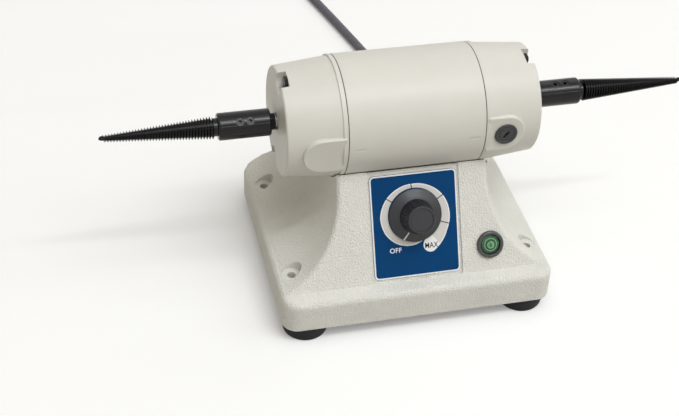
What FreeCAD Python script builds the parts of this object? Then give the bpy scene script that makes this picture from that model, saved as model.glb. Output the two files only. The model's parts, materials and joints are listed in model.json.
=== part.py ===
import FreeCAD, Part
import math
import os
from FreeCAD import Vector

os.makedirs("parts", exist_ok=True)

# Bench polishing lathe: a motor on a cast pedestal, a tapered spindle at each end.
# Millimetres. X runs along the motor, Y away from the user, Z up from the table.

# Motor
axis_height = 118.0
motor_radius = 38.1
tube_length = 86.0
tube_wall = 3.2
bell_length = 37.0
bell_end_radius = 34.2
bell_body_radius = 37.3
bell_rim = 3.0
bell_wall = 4.5
bell_end_wall = 4.0
bell_edge_radius = 1.4
seam_depth = 0.4
spigot_length = 3.0
spigot_wall = 3.2
fit = 0.05
seat_gap = 0.3

# Bosses and notches on the end bells, angles from straight up towards the user
left_boss_angle = 95.0
right_boss_angle = 90.0
boss_radius = 12.3
boss_height = 37.1
left_boss_centre = 58.3
boss_centre = 56.2
notch_angle = 8.0
notch_width = 13.5
notch_depth = 5.5
tie_bolt_offset = 31.9
tie_bolt_radius = 2.0
tie_head_radius = 3.4
tie_head_height = 2.2
dent_length = 7.0
dent_width = 1.8
dent_depth = 0.4
dent_place = 36.0

# Rotor
shaft_radius = 3.97
journal_radius = 5.0
core_shaft_radius = 6.5
shaft_end = 111.0
air_gap = 0.9
core_length = 44.0
core_shift = -4.0
slot_count = 12
slot_radius = 3.1
slot_depth = 6.2
slot_mouth = 2.2
end_turn = 12.0
commutator_radius = 12.0
commutator_length = 16.0
bar_count = 20
bar_gap = 0.7
riser_radius = 14.0
riser_width = 2.0
magnet_thickness = 5.2
magnet_length = 58.0
magnet_span = 124.0

# Ball bearings
bearing_centre = 70.5
bearing_width = 8.0
bearing_radius = 13.0
inner_race_radius = 7.4
outer_race_bore = 10.6
ball_radius = 2.3
ball_count = 7
groove_gap = 0.08
washer_thickness = 0.6

# Brush gear
holder_radius = 6.6
holder_bore = 3.4
brush_wide = 5.0
brush_deep = 4.2
brush_length = 13.0
brush_gap = 0.15
cap_radius = 7.3
cap_proud = 1.6
cap_head = 3.0
cap_slot = 1.4
spring_wire = 0.35
spring_radius = 1.65
spring_turns = 5

# Tapered spindles
spindle_gap = 1.0
hub_radius = 5.2
hub_length = 3.0
collar_radius = 8.5
collar_length = 32.6
neck_radius = 5.6
neck_length = 2.4
taper_radius = 6.8
taper_tip = 1.9
taper_length = 68.0
tip_length = 1.4
set_screw_radius = 2.5
set_screw_socket = 1.25
left_screw_angle = 42.0
right_screw_angle = 14.0
left_screw_places = (12.9, 19.3)
right_screw_places = (16.0, 22.5)

# Cast base
base_half_x = 88.0
base_half_y = 75.0
base_bottom = 10.0
flange_top = 31.0
flange_corner = 10.0
flange_edge = 4.0
waist = 48.5
sweep_radius = 60.0
sweep_height = 86.0
saddle_top = 95.0
ledge = 11.0
panel_lean = 27.3
back_edge = 35.0
back_lean = 32.0
back_edge_radius = 3.0
sweep_edge = 3.0
base_wall = 5.0
saddle_wall = 5.4
hole_inset_x = 10.0
hole_inset_y = 29.5
hole_radius = 2.75
spot_radius = 6.3
spot_wall = 3.0
boss_wall = 4.0
foot_inset_x = 16.2
foot_inset_y = 14.7
cover_thickness = 1.5
cover_clearance = 0.4

# Feet and their screws
foot_radius = 15.2
foot_tip_radius = 14.0
foot_edge = 1.5
foot_recess = 5.2
foot_floor = 5.0
foot_screw_radius = 2.1
foot_screw_length = 16.0
foot_head_radius = 3.8
foot_head_height = 2.6
washer_radius = 4.8
foot_washer = 0.8

# Motor screws through the saddle
motor_screw_x = 28.0
motor_screw_radius = 3.0
motor_head_radius = 5.0
motor_head_height = 5.0
lead_hole_radius = 5.0

# Control panel, places measured up the slope from the foot of the panel
recess_width = 59.0
recess_low = 0.8
recess_depth = 1.0
plate_width = 56.0
plate_low = 2.2
plate_gap = 3.57
plate_corner = 3.0
plate_thickness = 0.6
knob_place = 41.7
knob_skirt_radius = 17.0
knob_skirt_height = 3.6
knob_grip_radius = 11.0
knob_top_radius = 9.0
knob_height = 16.0
knob_gap = 0.4
rib_count = 36
pot_radius = 8.3
pot_length = 11.0
pot_room = 0.5
bushing_radius = 4.7
bushing_length = 7.4
pot_shaft_radius = 3.0
pot_shaft_length = 15.0
pot_nut_radius = 6.4
pot_nut_height = 1.8
lamp_x = 48.0
lamp_place = 17.0
lamp_bezel_radius = 8.9
lamp_bezel_height = 2.2
lamp_bore = 6.2
lamp_body_radius = 7.4
lamp_body_length = 24.0
lamp_nut_radius = 10.0
lamp_nut_height = 3.0
lens_radius = 5.6
lens_height = 2.4

# Speed control board on the bottom cover
board_x = 88.0
board_y = 60.0
board_thickness = 1.6
standoff_height = 8.0
standoff_radius = 3.0
board_screw_radius = 1.5
board_head_radius = 2.7
board_head_height = 1.8
sink_width = 30.0
sink_depth = 14.0
sink_height = 24.0
fin_count = 5
fin_gap = 3.2
capacitor_radius = 7.0
capacitor_height = 20.0
capacitor_places = (11.0, 27.0)
lead_radius = 0.9

# Supply cord
cord_radius = 3.5
cord_exit = Vector(46.0, 107.0, 22.0)
relief_hole = 7.5
relief_flange = 9.5
relief_tip = 4.6
relief_grooves = 5
cord_route = [
    cord_exit,
    Vector(46.0, 135.0, 22.0),
    Vector(51.0, 170.0, 8.0),
    Vector(43.5, 221.0, 3.5),
    Vector(30.6, 274.0, 3.5),
    Vector(17.0, 326.0, 3.5),
    Vector(2.5, 374.5, 4.6),
    Vector(-13.5, 419.0, 4.6),
]
coil_radius = 47.5
coil_pitch = 7.5
coil_layer = 7.5
coil_half_turns = 12
coil_reversal = 5
coil_tail = 42.0
tie_thickness = 0.8
tie_width = 8.0
tie_slack = 1.6
plug_length = 36.0
plug_width = 26.0
blade_length = 17.0
blade_width = 6.3
blade_thickness = 1.5
blade_spacing = 12.7
ground_pin_radius = 2.4

# Worked out from the sizes above
joint_x = tube_length / 2
bell_end = joint_x + bell_length
tube_bore = motor_radius - tube_wall
core_radius = tube_bore - magnet_thickness - air_gap
slot_circle = core_radius - slot_depth
roof_height = axis_height - motor_radius - saddle_wall
panel_foot = base_half_y - ledge
hole_x = base_half_x - hole_inset_x
hole_y = base_half_y - hole_inset_y
foot_x = base_half_x - foot_inset_x
foot_y = base_half_y - foot_inset_y
lean = math.radians(panel_lean)
panel_up = Vector(0, math.sin(lean), math.cos(lean))
panel_out = Vector(0, -math.cos(lean), math.sin(lean))
panel_origin = Vector(0, -panel_foot, flange_top)
cover_top = base_bottom + cover_thickness
board_low = cover_top + standoff_height
board_top = board_low + board_thickness
X = Vector(1, 0, 0)
Y = Vector(0, 1, 0)
Z = Vector(0, 0, 1)


def save(name, shape):
    shape.exportStep("parts/" + name + ".step")


def group(solids):
    return Part.makeCompound(solids)


def rounded_wire(corners):
    """Closed wire through (point, radius) corners, with an arc where the radius isn't zero."""
    count = len(corners)
    stops = []
    for i in range(count):
        point, radius = corners[i]
        if radius == 0:
            stops.append((point, None, point))
            continue
        before = (corners[i - 1][0] - point).normalize()
        after = (corners[(i + 1) % count][0] - point).normalize()
        half = before.getAngle(after) / 2
        reach = radius / math.tan(half)
        inward = (before + after).normalize()
        centre = point + inward * (radius / math.sin(half))
        stops.append((point + before * reach, centre - inward * radius, point + after * reach))
    edges = []
    for i in range(count):
        start, middle, end = stops[i]
        if middle:
            edges.append(Part.Arc(start, middle, end).toShape())
        following = stops[(i + 1) % count][0]
        if following.distanceToPoint(end) > 1e-6:
            edges.append(Part.LineSegment(end, following).toShape())
    return Part.Wire(edges)


def turned(profile, place=0.0, side=1):
    """Solid turned about the motor axis from (x, radius, corner radius) points."""
    corners = [(Vector(side * (place + p[0]), 0, axis_height + p[1]), p[2] if len(p) > 2 else 0)
               for p in profile]
    face = Part.Face(rounded_wire(corners))
    solid = face.revolve(Vector(0, 0, axis_height), X, 360)
    return solid


def turned_on(origin, axis, profile):
    """Solid turned about an axis from (height, radius, corner radius) points."""
    across = axis.cross(X) if abs(axis.x) < 0.9 else axis.cross(Z)
    across.normalize()
    corners = [(origin + axis * p[0] + across * p[1], p[2] if len(p) > 2 else 0) for p in profile]
    return Part.Face(rounded_wire(corners)).revolve(origin, axis, 360)


def radial(angle):
    """Direction away from the motor axis, its angle from straight up towards the user."""
    turn = math.radians(angle)
    return Vector(0, -math.sin(turn), math.cos(turn))


def on_axis(x, angle, distance):
    return Vector(x, 0, axis_height) + radial(angle) * distance


def on_panel(x, up, out=0.0):
    return panel_origin + X * x + panel_up * up + panel_out * out


def block(low, high):
    size = high - low
    return Part.makeBox(size.x, size.y, size.z, low)


def tangent_tube(points, radius):
    """Tube along straight runs joined by the largest tangent arcs, with its list of arc radii."""
    edges = []
    radii = []
    start = points[0]
    for before, corner, after in zip(points, points[1:], points[2:]):
        back = (before - corner)
        ahead = (after - corner)
        reach = 0.45 * min(back.Length, ahead.Length)
        half_turn = (math.pi - back.getAngle(ahead)) / 2
        arc_radius = reach / math.tan(half_turn)
        back.normalize()
        ahead.normalize()
        inward = (back + ahead).normalize()
        middle = corner + inward * (arc_radius / math.cos(half_turn) - arc_radius)
        enter = corner + back * reach
        leave = corner + ahead * reach
        edges.append(Part.LineSegment(start, enter).toShape())
        edges.append(Part.Arc(enter, middle, leave).toShape())
        radii.append(arc_radius)
        start = leave
    edges.append(Part.LineSegment(start, points[-1]).toShape())
    path = Part.Wire(edges)
    return swept(path, points[0], points[1] - points[0], radius), radii, path.Length


def swept(path, start, direction, radius):
    ring = Part.Wire(Part.makeCircle(radius, start, direction))
    shell = Part.BRepOffsetAPI.MakePipeShell(path)
    shell.add(ring)
    shell.build()
    shell.makeSolid()
    return shell.shape()


def motor_shell():
    tube = turned([(-joint_x, tube_bore), (-joint_x, motor_radius - seam_depth),
                   (seam_depth - joint_x, motor_radius), (joint_x - seam_depth, motor_radius),
                   (joint_x, motor_radius - seam_depth), (joint_x, tube_bore)])
    for x in (-motor_screw_x, motor_screw_x):
        tube = tube.cut(Part.makeCylinder(motor_screw_radius + fit, motor_radius,
                                          Vector(x, 0, axis_height), -Z))
    tube = tube.cut(Part.makeCylinder(lead_hole_radius, motor_radius + 1, Vector(0, 0, axis_height), -Z))
    for x in (-dent_place, dent_place):
        for angle in (right_boss_angle, right_boss_angle + 180):
            out = radial(angle)
            tool = Part.makeBox(dent_length, dent_width, 2 * dent_depth,
                                Vector(-dent_length / 2, -dent_width / 2, 0))
            tool.rotate(Vector(), X, angle)
            tool.translate(on_axis(x, angle, motor_radius - dent_depth))
            tube = tube.cut(tool)
    return tube


def bell(side, boss_angle, centre, open_bosses):
    """End bell: tapered cup with a bearing pocket, a flat boss front and rear, and bolt notches."""
    inner_end = bell_end - bell_end_wall
    hub = bearing_radius + bell_wall
    pocket_floor = bearing_centre + bearing_width / 2 + washer_thickness + fit
    hub_start = bearing_centre - bearing_width / 2
    cup = turned([
        (joint_x, motor_radius - seam_depth),
        (joint_x + seam_depth, motor_radius),
        (joint_x + bell_rim, motor_radius),
        (joint_x + bell_rim, bell_body_radius),
        (bell_end, bell_end_radius, bell_edge_radius),
        (bell_end, shaft_radius + 1.5),
        (pocket_floor, shaft_radius + 1.5),
        (pocket_floor, bearing_radius + fit),
        (hub_start, bearing_radius + fit),
        (hub_start, hub),
        (inner_end, hub),
        (inner_end, bell_end_radius - bell_wall),
        (joint_x, tube_bore - spigot_wall),
        (joint_x - spigot_length, tube_bore - spigot_wall),
        (joint_x - spigot_length, tube_bore - fit),
        (joint_x, tube_bore - fit),
    ], side=side)
    for angle in (boss_angle, boss_angle + 180):
        cup = cup.fuse(bell_boss(side, angle, centre))
        if open_bosses:
            cup = cup.fuse(Part.makeCylinder(holder_radius + 3, boss_height - 22,
                                             on_axis(side * centre, angle, 22), radial(angle)))
            cup = cup.cut(Part.makeCylinder(holder_radius + fit, 30,
                                            on_axis(side * centre, angle, 16), radial(angle)))
    cup = cup.removeSplitter()
    for angle in (notch_angle, notch_angle + 180):
        cup = cup.cut(notch_tool(side, angle))
        cup = cup.cut(Part.makeCylinder(tie_bolt_radius + 2 * fit, bell_length,
                                        on_axis(side * joint_x - side * spigot_length, angle,
                                                tie_bolt_offset), X * side))
    return cup


def bell_boss(side, angle, centre):
    """D-shaped flat boss: a bar with a round outer end, from the rim of the bell."""
    depth = 12.0
    bar = Part.makeBox(centre - joint_x - bell_rim / 2, 2 * boss_radius, depth,
                       Vector(joint_x + bell_rim / 2, -boss_radius, 0))
    end = Part.makeCylinder(boss_radius, depth, Vector(centre, 0, 0), Z)
    shape = bar.fuse(end).removeSplitter()
    top = [e for e in shape.Edges
           if abs(e.BoundBox.ZMin - depth) < 0.01 and e.BoundBox.XMax > joint_x + bell_rim]
    shape = shape.makeFillet(0.8, top)
    if side < 0:
        shape = shape.mirror(Vector(), X)
    shape.rotate(Vector(), X, angle)
    shape.translate(on_axis(0, angle, boss_height - depth))
    return shape


def notch_tool(side, angle):
    """Slot open at the end face and the rim, round at its inner end, for a tie bolt's head."""
    half = notch_width / 2
    centre = tie_bolt_offset - 1.5
    slot = Part.makeBox(notch_depth + 2, notch_width, 12, Vector(bell_end - notch_depth, -half, centre))
    slot = slot.fuse(Part.makeCylinder(half, notch_depth + 2, Vector(bell_end - notch_depth, 0, centre), X))
    if side < 0:
        slot = slot.mirror(Vector(), X)
    slot.rotate(Vector(), X, angle)
    slot.translate(Vector(0, 0, axis_height))
    return slot


def hexagon(radius, height, base, axis):
    """Hexagonal prism, radius to its corners."""
    across = axis.cross(Z) if abs(axis.z) < 0.9 else axis.cross(X)
    across.normalize()
    other = axis.cross(across)
    points = [base + across * (radius * math.cos(math.radians(60 * i)))
              + other * (radius * math.sin(math.radians(60 * i))) for i in range(6)]
    return Part.Face(Part.makePolygon(points + points[:1])).extrude(axis * height)


def tie_bolts():
    bolts = []
    seat = bell_end - notch_depth
    for angle in (notch_angle, notch_angle + 180):
        start = on_axis(-seat - tie_head_height, angle, tie_bolt_offset)
        head = hexagon(tie_head_radius, tie_head_height, start, X)
        shank = Part.makeCylinder(tie_bolt_radius, 2 * seat + tie_head_height + tie_head_height + 0.6,
                                  start, X)
        bolts.append(head.fuse(shank).removeSplitter())
    return group(bolts)


def tie_nuts():
    nuts = []
    for angle in (notch_angle, notch_angle + 180):
        start = on_axis(bell_end - notch_depth, angle, tie_bolt_offset)
        nut = hexagon(tie_head_radius, tie_head_height, start, X)
        nuts.append(nut.cut(Part.makeCylinder(tie_bolt_radius + fit, tie_head_height, start, X)))
    return group(nuts)


def magnet(angle):
    ring = turned([(-magnet_length / 2, tube_bore - magnet_thickness),
                   (-magnet_length / 2, tube_bore - fit), (magnet_length / 2, tube_bore - fit),
                   (magnet_length / 2, tube_bore - magnet_thickness)], place=core_shift)
    reach = 2 * tube_bore
    half = math.radians(magnet_span / 2)
    wedge = Part.makePolygon([Vector(-magnet_length, 0, 0),
                              Vector(-magnet_length, reach * math.sin(half), reach * math.cos(half)),
                              Vector(-magnet_length, 0, reach * 2),
                              Vector(-magnet_length, -reach * math.sin(half), reach * math.cos(half)),
                              Vector(-magnet_length, 0, 0)])
    wedge = Part.Face(wedge).extrude(X * 2 * magnet_length)
    wedge.rotate(Vector(), X, angle)
    wedge.translate(Vector(0, 0, axis_height))
    return ring.common(wedge)


def motor_shaft():
    step = bearing_centre - bearing_width / 2
    far = bearing_centre + bearing_width / 2 + washer_thickness
    half = [(shaft_end, shaft_radius, 0.6), (far, shaft_radius), (far, journal_radius),
            (step, journal_radius), (step, core_shaft_radius)]
    profile = [(-shaft_end, 0)] + [(-p[0],) + p[1:] for p in half] + half[::-1] + [(shaft_end, 0)]
    return turned(profile)


def armature_core():
    half = core_length / 2
    core = turned([(-half, core_shaft_radius + fit), (-half, core_radius), (half, core_radius),
                   (half, core_shaft_radius + fit)], place=core_shift)
    for i in range(slot_count):
        angle = 360.0 * i / slot_count
        start = on_axis(core_shift - half, angle, slot_circle)
        core = core.cut(Part.makeCylinder(slot_radius, core_length, start, X))
        mouth = Part.makeBox(core_length, slot_mouth, core_radius,
                             Vector(core_shift - half, -slot_mouth / 2, slot_circle))
        mouth.rotate(Vector(), X, angle)
        mouth.translate(Vector(0, 0, axis_height))
        core = core.cut(mouth)
    return core


def armature_winding():
    half = core_length / 2
    inner = core_shaft_radius + 2
    outer = slot_circle + slot_radius
    coil = None
    for side in (-1, 1):
        near = half + seat_gap
        far = half + end_turn
        ends = turned([(near, inner), (near, outer), (far - 4, outer), (far, outer - 4), (far, inner)],
                      side=side)
        ends.translate(X * core_shift)
        coil = ends if coil is None else coil.fuse(ends)
    for i in range(slot_count):
        start = on_axis(core_shift - half - 1, 360.0 * i / slot_count, slot_circle)
        coil = coil.fuse(Part.makeCylinder(slot_radius - 2 * fit, core_length + 2, start, X))
    return coil.removeSplitter()


def commutator():
    start = boss_centre - commutator_length / 2
    body = turned([(0, core_shaft_radius + fit), (0, riser_radius), (riser_width, riser_radius),
                   (riser_width, commutator_radius), (commutator_length, commutator_radius),
                   (commutator_length, core_shaft_radius + fit)], place=start)
    for i in range(bar_count):
        groove = Part.makeBox(commutator_length, bar_gap, 4,
                              Vector(start, -bar_gap / 2, commutator_radius - 1.2))
        groove.rotate(Vector(), X, 360.0 * i / bar_count)
        groove.translate(Vector(0, 0, axis_height))
        body = body.cut(groove)
    return body


def inner_race(side):
    half = bearing_width / 2
    race = turned([(-half, journal_radius + 0.01), (-half, inner_race_radius, 0.3),
                   (half, inner_race_radius, 0.3), (half, journal_radius + 0.01)],
                  place=bearing_centre, side=side)
    return race.cut(ball_track(side))


def outer_race(side):
    half = bearing_width / 2
    race = turned([(-half, outer_race_bore), (-half, bearing_radius, 0.5), (half, bearing_radius, 0.5),
                   (half, outer_race_bore)], place=bearing_centre, side=side)
    return race.cut(ball_track(side))


def ball_track(side):
    return Part.makeTorus((inner_race_radius + outer_race_bore) / 2, ball_radius + groove_gap,
                          Vector(side * bearing_centre, 0, axis_height), X)


def ball_set(side):
    """Balls and the flat ring of the cage that spaces them."""
    pitch = (inner_race_radius + outer_race_bore) / 2
    ring_half = (outer_race_bore - inner_race_radius) / 2 - 0.4
    cage = turned([(1.3, pitch - ring_half), (1.3, pitch + ring_half), (2.9, pitch + ring_half),
                   (2.9, pitch - ring_half)], place=bearing_centre, side=side)
    solids = []
    for i in range(ball_count):
        centre = on_axis(side * bearing_centre, 360.0 * i / ball_count, pitch)
        cage = cage.cut(Part.makeSphere(ball_radius + fit, centre))
        solids.append(Part.makeSphere(ball_radius, centre))
    return group([cage] + solids)


def wave_washer():
    place = bearing_centre + bearing_width / 2
    return turned([(fit, 9.0), (fit, bearing_radius - 0.3), (washer_thickness - fit, bearing_radius - 0.3),
                   (washer_thickness - fit, 9.0)], place=place, side=-1)


def brush_holder(angle):
    length = boss_height - cap_head + cap_proud - 16.0
    holder = Part.makeCylinder(holder_radius, length, on_axis(boss_centre, angle, 16), radial(angle))
    window = block(Vector(-brush_wide / 2 - fit, -brush_deep / 2 - fit, 0),
                   Vector(brush_wide / 2 + fit, brush_deep / 2 + fit, 60))
    window.rotate(Vector(), X, angle)
    window.translate(Vector(boss_centre, 0, axis_height))
    return holder.cut(window)


def carbon_brush(angle):
    brush = block(Vector(-brush_wide / 2, -brush_deep / 2, commutator_radius - 3),
                  Vector(brush_wide / 2, brush_deep / 2, commutator_radius + brush_length))
    brush.rotate(Vector(), X, angle)
    brush.translate(Vector(boss_centre, 0, axis_height))
    return brush.cut(turned([(-10, 0), (-10, commutator_radius + brush_gap),
                             (10, commutator_radius + brush_gap), (10, 0)], place=boss_centre))


def wound_tube(stops, along, radius, lead_in, lead_out):
    """Tube through half turns that all meet the stops along one direction, to and fro."""
    direction = along
    edges = []
    start = stops[0]
    if lead_in > 0:
        start = stops[0] - along * lead_in
        edges.append(Part.LineSegment(start, stops[0]).toShape())
    for a, b in zip(stops, stops[1:]):
        middle = (a + b) * 0.5 + direction * (a.distanceToPoint(b) / 2)
        edges.append(Part.Arc(a, middle, b).toShape())
        direction = -direction
    if lead_out > 0:
        edges.append(Part.LineSegment(stops[-1], stops[-1] + direction * lead_out).toShape())
    path = Part.Wire(edges)
    return swept(path, start, along, radius), path


def brush_spring(angle):
    out = radial(angle)
    low = commutator_radius + brush_length + spring_wire + fit
    high = boss_height + cap_proud - cap_head - spring_wire - fit
    steps = 2 * spring_turns
    stops = [on_axis(boss_centre, angle, low + (high - low) * i / steps)
             + X * (spring_radius * (-1) ** i) for i in range(steps + 1)]
    return wound_tube(stops, X.cross(out), spring_wire, 0, 0)[0]


def brush_cap(angle):
    out = radial(angle)
    base = on_axis(boss_centre, angle, boss_height + cap_proud - cap_head)
    cap = turned_on(base, out, [(0, 0), (0, holder_radius - fit), (cap_head - cap_proud, holder_radius - fit),
                                (cap_head - cap_proud + seat_gap / 3, cap_radius),
                                (cap_head, cap_radius, 0.5), (cap_head, 0)])
    slot = block(Vector(-cap_radius, -cap_slot / 2, cap_head - 1.0),
                 Vector(cap_radius, cap_slot / 2, cap_head + 1))
    slot.rotate(Vector(), Z, 35)
    slot.rotate(Vector(), X, angle)
    slot.translate(base)
    return cap.cut(slot)


def spindle(side, screw_angle, screw_places):
    """Collar for the shaft, then a slender taper that buffs screw on to."""
    hub = bell_end + spindle_gap
    collar = hub + hub_length
    neck = collar + collar_length
    taper = neck + neck_length
    tip = taper + taper_length
    body = turned([
        (hub, shaft_radius + fit),
        (hub, hub_radius),
        (collar, hub_radius),
        (collar, collar_radius, 1.0),
        (neck, collar_radius, 1.4),
        (neck, neck_radius),
        (taper, neck_radius),
        (taper, taper_radius, 0.8),
        (tip, taper_tip, 0.8),
        (tip + tip_length, 0.9),
        (tip + tip_length, 0),
        (shaft_end + 1, 0),
        (shaft_end + 1, shaft_radius + fit),
    ], side=side)
    for place in screw_places:
        body = body.cut(Part.makeCylinder(set_screw_radius + fit, collar_radius,
                                          on_axis(side * (collar + place), screw_angle, 0),
                                          radial(screw_angle)))
    return body


def set_screws(side, screw_angle, screw_places):
    screws = []
    out = radial(screw_angle)
    collar = bell_end + spindle_gap + hub_length
    for place in screw_places:
        start = on_axis(side * (collar + place), screw_angle, shaft_radius + fit)
        length = collar_radius - 0.5 - shaft_radius
        screw = Part.makeCylinder(set_screw_radius, length, start, out)
        socket = hexagon(set_screw_socket, 2.2, start + out * (length - 2), out)
        screws.append(screw.cut(socket))
    return screws


def sweep_outline(inset, low, high, edge):
    """Front view outline of the pedestal: concave sides that sweep out to the flange."""
    half_waist = waist - inset
    radius = sweep_radius + inset
    centre = half_waist + radius
    foot = sweep_height - math.sqrt(radius ** 2 - (centre - edge) ** 2)
    middle_angle = (math.pi + math.atan2(sweep_height - foot, centre - edge) + math.pi) / 2
    y = -2 * base_half_y
    bottom = [(-edge, foot), (-edge, low), (edge, low), (edge, foot)]
    top = [(half_waist, sweep_height), (half_waist, high), (-half_waist, high), (-half_waist, sweep_height)]
    edges = []
    for chain in (bottom, top):
        for a, b in zip(chain, chain[1:]):
            edges.append(Part.LineSegment(Vector(a[0], y, a[1]), Vector(b[0], y, b[1])).toShape())
    for side in (-1, 1):
        middle = Vector(side * (centre + radius * math.cos(middle_angle)), y,
                        sweep_height + radius * math.sin(middle_angle))
        edges.append(Part.Arc(Vector(side * edge, y, foot), middle,
                              Vector(side * half_waist, y, sweep_height)).toShape())
    wire = Part.Wire(Part.__sortEdges__(edges))
    return Part.Face(wire).extrude(Y * 4 * base_half_y)


def slope_outline(inset, low, high):
    """Side view outline of the pedestal: leaning panel in front, leaning wall behind."""
    front_foot = panel_foot - inset / math.cos(lean)
    front_top = front_foot - (high - flange_top) * math.tan(lean)
    back_tilt = math.radians(back_lean)
    back = base_half_y - inset
    back_knee = back_edge - inset * math.tan(back_tilt / 2)
    back_top = back - (high - back_knee) * math.tan(back_tilt)
    front_low = front_foot + (flange_top - low) * math.tan(lean)
    x = -2 * base_half_x
    corners = [(-front_low, low, 0), (-front_top, high, 0), (back_top, high, 0),
               (back, back_knee, back_edge_radius), (back, low, 0)]
    wire = rounded_wire([(Vector(x, y, z), r) for y, z, r in corners])
    return Part.Face(wire).extrude(X * 4 * base_half_x)


def plan_block(inset, low, high):
    half_x = base_half_x - inset
    half_y = base_half_y - inset
    corner = flange_corner - min(inset, flange_corner - 2)
    wire = rounded_wire([(Vector(x, y, low), corner) for x, y in
                         ((-half_x, -half_y), (half_x, -half_y), (half_x, half_y), (-half_x, half_y))])
    return Part.Face(wire).extrude(Z * (high - low))


def flange_block():
    block_shape = plan_block(0, base_bottom, flange_top)
    top = [e for e in block_shape.Edges if e.BoundBox.ZMin > flange_top - 0.01]
    return block_shape.makeFillet(flange_edge, top)


def cavity():
    """Hollow under the casting: the same forms, one wall further in."""
    upper = sweep_outline(base_wall, 0, roof_height, base_half_x - base_wall)
    upper = upper.common(slope_outline(base_wall, 0, roof_height))
    upper = upper.common(plan_block(base_wall, base_bottom - 1, roof_height))
    lower = plan_block(base_wall, base_bottom - 1, flange_top - base_wall)
    return upper.fuse(lower).removeSplitter()


def sweep_edges(pedestal):
    """Edges where the concave sides meet the panel and the back wall."""
    edges = []
    for e in pedestal.Edges:
        b = e.BoundBox
        upright = b.ZMax > sweep_height - 0.1 and b.ZMax - b.ZMin > 5
        at_side = max(abs(b.XMin), abs(b.XMax)) > waist - 0.1 and b.XMin * b.XMax > 0
        if upright and at_side:
            edges.append(e)
    return edges


def base_casting():
    pedestal = sweep_outline(0, base_bottom, saddle_top, base_half_x - flange_edge + 0.5)
    pedestal = pedestal.common(slope_outline(0, base_bottom, saddle_top))
    pedestal = pedestal.common(plan_block(0, base_bottom, saddle_top)).Solids[0]
    casting = pedestal.makeFillet(sweep_edge, sweep_edges(pedestal)).fuse(flange_block()).removeSplitter()
    hollow = cavity()
    for x in (-hole_x, hole_x):
        for y in (-hole_y, hole_y):
            hollow = hollow.cut(Part.makeCylinder(spot_radius + spot_wall, flange_top,
                                                  Vector(x, y, cover_top), Z))
    for x in (-foot_x, foot_x):
        for y in (-foot_y, foot_y):
            hollow = hollow.cut(Part.makeCylinder(foot_screw_radius + boss_wall, flange_top,
                                                  Vector(x, y, cover_top), Z))
    casting = casting.cut(hollow)
    for x in (-hole_x, hole_x):
        for y in (-hole_y, hole_y):
            casting = casting.cut(Part.makeCylinder(hole_radius, 60, Vector(x, y, 0), Z))
            casting = casting.cut(Part.makeCylinder(spot_radius, 30, Vector(x, y, flange_top), Z))
    for x in (-foot_x, foot_x):
        for y in (-foot_y, foot_y):
            casting = casting.cut(Part.makeCylinder(foot_screw_radius + fit, foot_screw_length,
                                                    Vector(x, y, foot_floor), Z))
    casting = casting.cut(Part.makeCylinder(motor_radius + fit, 4 * waist,
                                            Vector(-2 * waist, 0, axis_height), X))
    for x in (-motor_screw_x, motor_screw_x):
        casting = casting.cut(Part.makeCylinder(motor_screw_radius + 0.3, 40,
                                                Vector(x, 0, roof_height - 5), Z))
    casting = casting.cut(Part.makeCylinder(lead_hole_radius, 40, Vector(0, 0, roof_height - 5), Z))
    casting = casting.cut(panel_recess())
    casting = casting.cut(Part.makeCylinder(bushing_radius + 0.2, 20,
                                            on_panel(0, knob_place, -12), panel_out))
    casting = casting.cut(Part.makeCylinder(lamp_body_radius + 0.2, 20,
                                            on_panel(lamp_x, lamp_place, -12), panel_out))
    casting = casting.cut(Part.makeCylinder(pot_radius + pot_room, pot_length + pot_room,
                                            on_panel(0, knob_place, -base_wall), -panel_out))
    return casting.cut(Part.makeCylinder(relief_hole, 20,
                                         Vector(cord_exit.x, base_half_y - 12, cord_exit.z), Y))


def panel_sheet(width, low, length, corner, bottom, thickness):
    """Flat piece parallel to the panel, corners rounded."""
    half = width / 2
    corners = [(on_panel(x, up, bottom), corner) for x, up in
               ((-half, low), (half, low), (half, low + length), (-half, low + length))]
    return Part.Face(rounded_wire(corners)).extrude(panel_out * thickness)


def panel_recess():
    length = (saddle_top - flange_top) / math.cos(lean) + 10
    return panel_sheet(recess_width, recess_low, length, 1.0, -recess_depth, 20)


def slope_reach(clearance):
    """Length of the panel from its foot to a clearance from the motor."""
    foot = panel_origin - Z * axis_height
    along = foot.dot(panel_up)
    return -along - math.sqrt(along ** 2 - foot.dot(foot) + (motor_radius + clearance) ** 2)


def dial_plate():
    length = slope_reach(plate_gap) - plate_low
    plate = panel_sheet(plate_width, plate_low, length, plate_corner, -recess_depth, plate_thickness)
    return plate.cut(Part.makeCylinder(bushing_radius + 0.2, 10, on_panel(0, knob_place, -5), panel_out))


def speed_knob():
    """Knob with a wide bevelled skirt and a ribbed grip."""
    base = on_panel(0, knob_place, knob_gap)
    body = turned_on(base, panel_out, [
        (0, pot_shaft_radius + fit), (0, knob_skirt_radius, 0.6), (1.2, knob_skirt_radius, 0.5),
        (knob_skirt_height, knob_grip_radius + 1.2, 0.8), (knob_skirt_height + 0.4, knob_grip_radius),
        (knob_height, knob_top_radius, 1.0), (knob_height, knob_top_radius - 1.6),
        (knob_height - 0.6, knob_top_radius - 2.0), (knob_height - 0.6, 0), (knob_height - 3, 0),
        (knob_height - 3, pot_shaft_radius + fit)])
    grip = knob_grip_radius + 0.15
    for i in range(rib_count):
        turn = math.radians(360.0 * i / rib_count)
        away = X * math.cos(turn) + panel_up * math.sin(turn)
        foot = base + away * grip + panel_out * (knob_skirt_height + 0.8)
        rise = (panel_out * (knob_height - knob_skirt_height - 2.0)
                - away * (knob_grip_radius - knob_top_radius)).normalize()
        groove = Part.makeCylinder(0.55, knob_height, foot, rise)
        body = body.cut(groove)
    room = Part.makeCylinder(pot_nut_radius + 0.6, pot_nut_height + 1.2,
                             on_panel(0, knob_place, -0.2), panel_out)
    return body.cut(room)


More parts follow.
